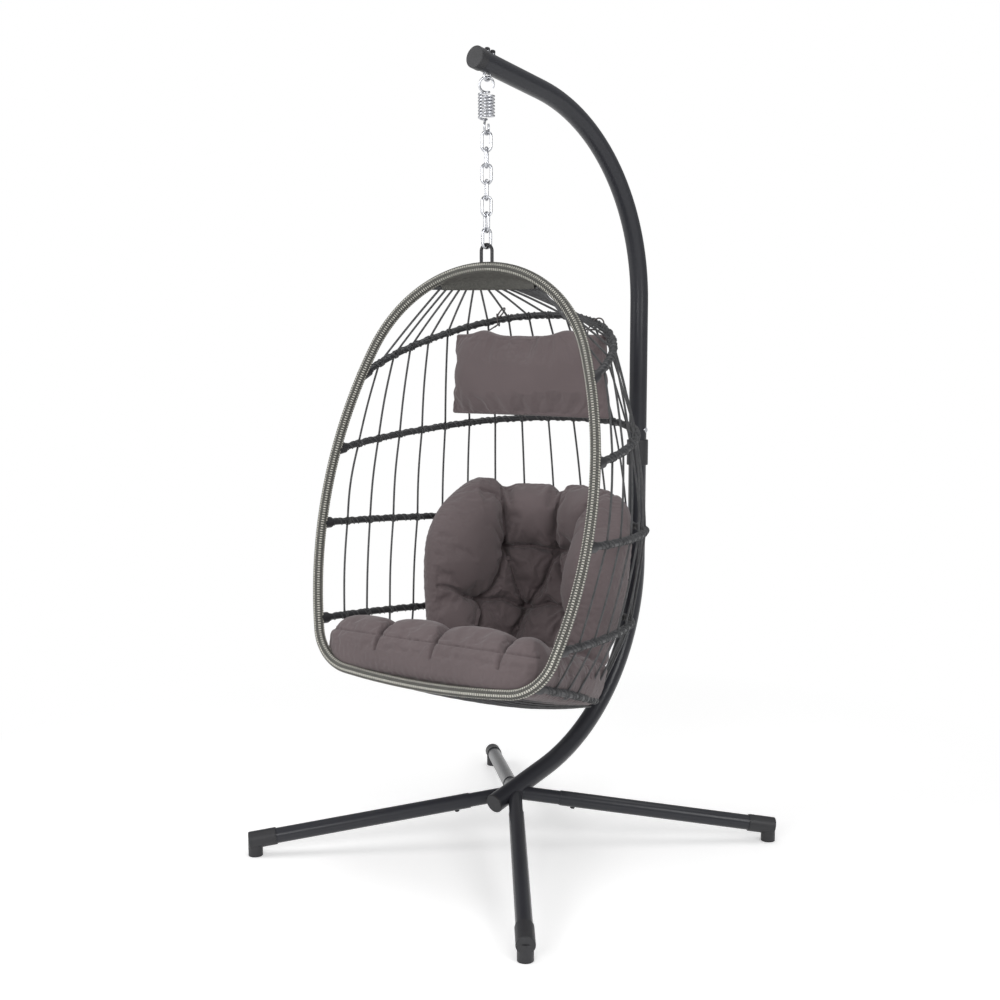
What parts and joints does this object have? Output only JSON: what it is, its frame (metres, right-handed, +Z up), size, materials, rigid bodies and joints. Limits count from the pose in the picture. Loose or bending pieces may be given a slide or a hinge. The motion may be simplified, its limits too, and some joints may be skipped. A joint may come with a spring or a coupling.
{
  "type": "hanging egg chair",
  "caption": "Hanging egg chair: roped basket with a tufted cushion and head pillow, on a chain and spring under a curved pole with a cross base.",
  "frame": {"origin": "middle of the underside of the whole, on the floor", "axes": "+Z up; the chair faces -Y; the pole stands at +Y"},
  "size_m": [0.9926, 1.0505, 1.9541],
  "materials": {
    "charcoal_steel": "satin",
    "black_plastic": "matte",
    "black_steel": "satin",
    "zinc_steel": "polished",
    "woven_wicker": "matte",
    "rope": "matte",
    "cushion_fabric": "matte",
    "tie_cord": "matte"
  },
  "bodies": {
    "stand": {"arm_end_cap": "black_plastic", "foot_cap_back_left": "black_plastic", "foot_cap_back_right": "black_plastic", "foot_cap_front_left": "black_plastic", "foot_cap_front_right": "black_plastic", "leg_back_left": "charcoal_steel", "leg_back_right": "charcoal_steel", "leg_front_left": "charcoal_steel", "leg_front_right": "charcoal_steel", "leg_screws": "black_steel", "leg_stub_back_left": "charcoal_steel", "leg_stub_back_right": "charcoal_steel", "leg_stub_front_left": "charcoal_steel", "leg_stub_front_right": "charcoal_steel", "lower_pole": "charcoal_steel", "pole_collar": "black_plastic", "pole_foot_plug": "black_plastic", "pole_joint_bolt": "zinc_steel", "pole_joint_nut": "black_steel", "pole_spigot": "charcoal_steel", "u_bolt": "zinc_steel", "u_bolt_nuts": "black_steel", "u_bolt_washers": "zinc_steel", "upper_pole": "charcoal_steel"},
    "spring_body": {"spring": "zinc_steel"},
    "link_1": {"chain_link_1": "zinc_steel"},
    "link_2": {"chain_link_2": "zinc_steel"},
    "link_3": {"chain_link_3": "zinc_steel"},
    "link_4": {"chain_link_4": "zinc_steel"},
    "link_5": {"chain_link_5": "zinc_steel"},
    "link_6": {"chain_link_6": "zinc_steel"},
    "link_7": {"chain_link_7": "zinc_steel"},
    "basket": {"hanging_eye": "black_steel", "head_pillow": "cushion_fabric", "pillow_ties": "tie_cord", "rib_1": "charcoal_steel", "rib_2": "charcoal_steel", "rib_3": "charcoal_steel", "rib_4": "charcoal_steel", "rib_bolts": "black_steel", "rib_fittings": "black_plastic", "rim_tube": "charcoal_steel", "rim_wrap": "woven_wicker", "ropes_base": "rope", "ropes_lower": "rope", "ropes_middle": "rope", "ropes_top": "rope", "ropes_under": "rope", "ropes_upper": "rope", "seat_cushion": "cushion_fabric", "seat_frame": "charcoal_steel", "top_hoop": "charcoal_steel", "top_web": "woven_wicker"}
  },
  "joints": [
    {"name": "swing_fore_aft", "type": "hinge", "parent": "stand", "child": "spring_body", "pos_m": [0, -0.12475, 1.8824], "axis": [1, 0, 0], "range_deg": [-12, 2]},
    {"name": "spring_stretch", "type": "slide", "parent": "spring_body", "child": "link_1", "axis": [0, 0, -1], "range_m": [0, 0.02], "stiffness_N_per_m": 48000, "springref_m": -0.003, "deforming": ["spring"]},
    {"name": "swing_sideways", "type": "hinge", "parent": "link_1", "child": "link_2", "pos_m": [0, -0.12475, 1.7212], "axis": [0, 1, 0], "range_deg": [-10, 10]},
    {"name": "chain_twist_1", "type": "hinge", "parent": "link_2", "child": "link_3", "pos_m": [0, -0.12475, 1.684], "axis": [0, 0, 1], "range_deg": [-14, 8]},
    {"name": "chain_twist_2", "type": "hinge", "parent": "link_3", "child": "link_4", "pos_m": [0, -0.12475, 1.6468], "axis": [0, 0, 1], "range_deg": [-14, 8]},
    {"name": "chain_twist_3", "type": "hinge", "parent": "link_4", "child": "link_5", "pos_m": [0, -0.12475, 1.6096], "axis": [0, 0, 1], "range_deg": [-14, 8]},
    {"name": "chain_twist_4", "type": "hinge", "parent": "link_5", "child": "link_6", "pos_m": [0, -0.12475, 1.5724], "axis": [0, 0, 1], "range_deg": [-14, 8]},
    {"name": "chain_twist_5", "type": "hinge", "parent": "link_6", "child": "link_7", "pos_m": [0, -0.12475, 1.5352], "axis": [0, 0, 1], "range_deg": [-14, 8]},
    {"name": "basket_nod", "type": "hinge", "parent": "link_7", "child": "basket", "pos_m": [0, -0.12475, 1.4983], "axis": [0.9877, 0.1564, 0], "range_deg": [-6, 2]}
  ]
}
